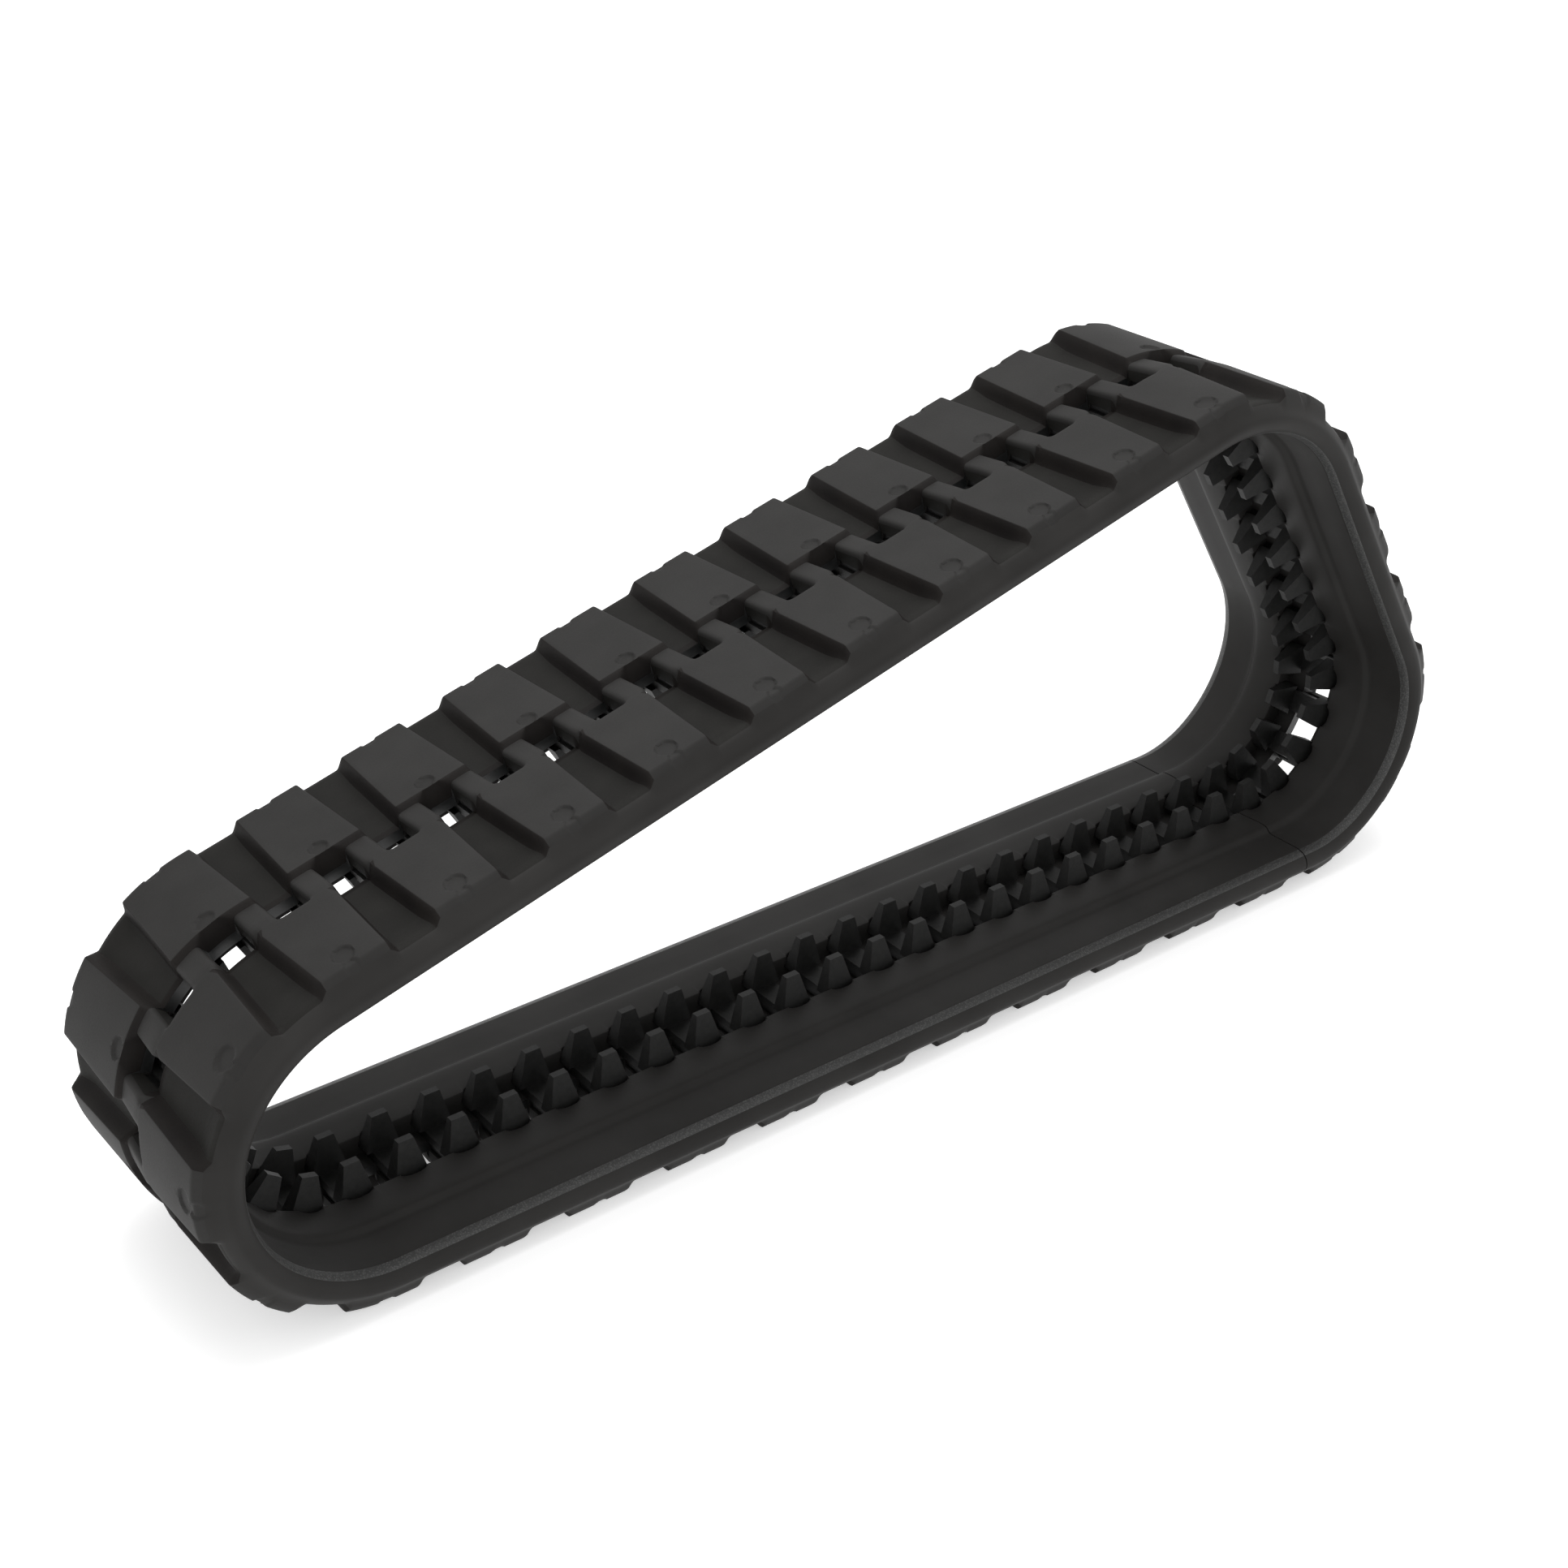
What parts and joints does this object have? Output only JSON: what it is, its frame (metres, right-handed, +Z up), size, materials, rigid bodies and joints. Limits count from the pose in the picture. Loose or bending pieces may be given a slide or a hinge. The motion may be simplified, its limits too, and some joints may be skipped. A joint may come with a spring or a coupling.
{
  "type": "rubber track",
  "caption": "Endless rubber track in its triangular fitted shape, with staggered lugs, steel cores and guide horns.",
  "frame": {"origin": "on the ground, in the middle of the track's length and width, under the lug tops", "axes": "+X to the rear, where the drive sprocket sits, +Y to the left belt edge, +Z up"},
  "size_m": [2.3514, 0.45, 0.9549],
  "materials": {
    "tread_rubber": "satin",
    "carcass_rubber": "matte",
    "forged_core": "matte",
    "steel_cord": "satin"
  },
  "bodies": {
    "ground": {"tread_left_ground_run": "tread_rubber", "tread_right_ground_run": "tread_rubber", "carcass_left_ground_run": "carcass_rubber", "carcass_right_ground_run": "carcass_rubber", "cords_ground_run": "steel_cord", "cores_ground_run": "forged_core", "cap_bars_ground_run": "tread_rubber", "tread_left_front_wrap_lower": "tread_rubber", "tread_right_front_wrap_lower": "tread_rubber", "carcass_left_front_wrap_lower": "carcass_rubber", "carcass_right_front_wrap_lower": "carcass_rubber", "cords_front_wrap_lower": "steel_cord", "cores_front_wrap_lower": "forged_core", "cap_bars_front_wrap_lower": "tread_rubber", "tread_left_front_wrap_upper": "tread_rubber", "tread_right_front_wrap_upper": "tread_rubber", "carcass_left_front_wrap_upper": "carcass_rubber", "carcass_right_front_wrap_upper": "carcass_rubber", "cords_front_wrap_upper": "steel_cord", "cores_front_wrap_upper": "forged_core", "cap_bars_front_wrap_upper": "tread_rubber"},
    "top_front": {"tread_left_top_front": "tread_rubber", "tread_right_top_front": "tread_rubber", "carcass_left_top_front": "carcass_rubber", "carcass_right_top_front": "carcass_rubber", "cords_top_front": "steel_cord", "cores_top_front": "forged_core", "cap_bars_top_front": "tread_rubber"},
    "top_rear": {"tread_left_top_rear": "tread_rubber", "tread_right_top_rear": "tread_rubber", "carcass_left_top_rear": "carcass_rubber", "carcass_right_top_rear": "carcass_rubber", "cords_top_rear": "steel_cord", "cores_top_rear": "forged_core", "cap_bars_top_rear": "tread_rubber"},
    "rear": {"tread_left_sprocket_wrap": "tread_rubber", "tread_right_sprocket_wrap": "tread_rubber", "carcass_left_sprocket_wrap": "carcass_rubber", "carcass_right_sprocket_wrap": "carcass_rubber", "cords_sprocket_wrap": "steel_cord", "cores_sprocket_wrap": "forged_core", "cap_bars_sprocket_wrap": "tread_rubber", "tread_left_rear_run": "tread_rubber", "tread_right_rear_run": "tread_rubber", "carcass_left_rear_run": "carcass_rubber", "carcass_right_rear_run": "carcass_rubber", "cords_rear_run": "steel_cord", "cores_rear_run": "forged_core", "cap_bars_rear_run": "tread_rubber", "tread_left_rear_wrap": "tread_rubber", "tread_right_rear_wrap": "tread_rubber", "carcass_left_rear_wrap": "carcass_rubber", "carcass_right_rear_wrap": "carcass_rubber", "cords_rear_wrap": "steel_cord", "cores_rear_wrap": "forged_core", "cap_bars_rear_wrap": "tread_rubber"}
  },
  "joints": [
    {"name": "front_flex", "type": "hinge", "parent": "ground", "child": "top_front", "pos_m": [-0.91226, 0, 0.50827], "axis": [0, 1, 0], "range_deg": [0, 3], "stiffness_Nm_per_rad": 12000, "springref_deg": -2.86},
    {"name": "mid_flex", "type": "hinge", "parent": "top_front", "child": "top_rear", "pos_m": [-0.16411, 0, 0.70664], "axis": [0, 1, 0], "range_deg": [-6, 0]},
    {"name": "sprocket_flex", "type": "hinge", "parent": "top_rear", "child": "rear", "pos_m": [0.58409, 0, 0.90479], "axis": [0, 1, 0], "range_deg": [0, 3]}
  ],
  "couplings": [
    {"joint": "mid_flex", "follows": "front_flex", "ratio": -2},
    {"joint": "sprocket_flex", "follows": "front_flex", "ratio": 1}
  ]
}
